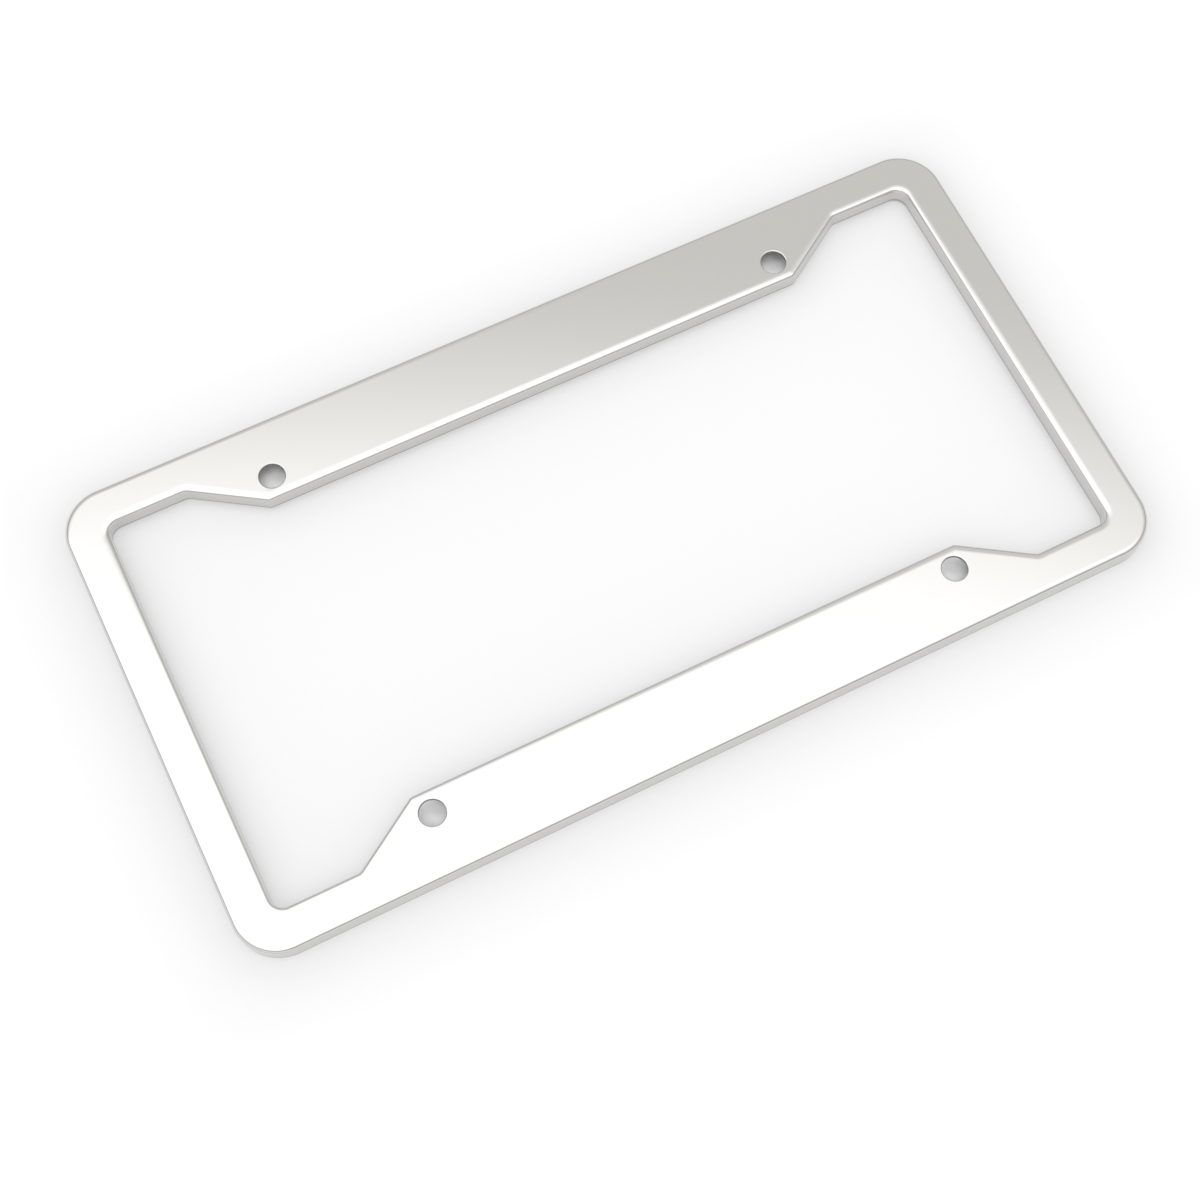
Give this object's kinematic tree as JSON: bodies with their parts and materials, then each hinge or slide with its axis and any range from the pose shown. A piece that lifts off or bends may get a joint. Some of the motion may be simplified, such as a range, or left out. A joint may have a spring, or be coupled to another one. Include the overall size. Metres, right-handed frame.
{
  "type": "number plate holder",
  "caption": "Flat rectangular frame of mirror-polished steel sheet for a car's number plate, with a turned-down outer wall, a lipped stepped window and round fixing holes.",
  "frame": {"origin": "centre of the frame's outline, in the plane of the foot of its outer wall, which is its back", "axes": "+X along the length, +Y across the width towards the upper bar, +Z out of the front face"},
  "size_m": [0.309, 0.1594, 0.0074],
  "materials": {
    "polished_steel": "mirror-polished stainless steel"
  },
  "bodies": {
    "root": {"plate_frame": "polished_steel"}
  },
  "joints": []
}
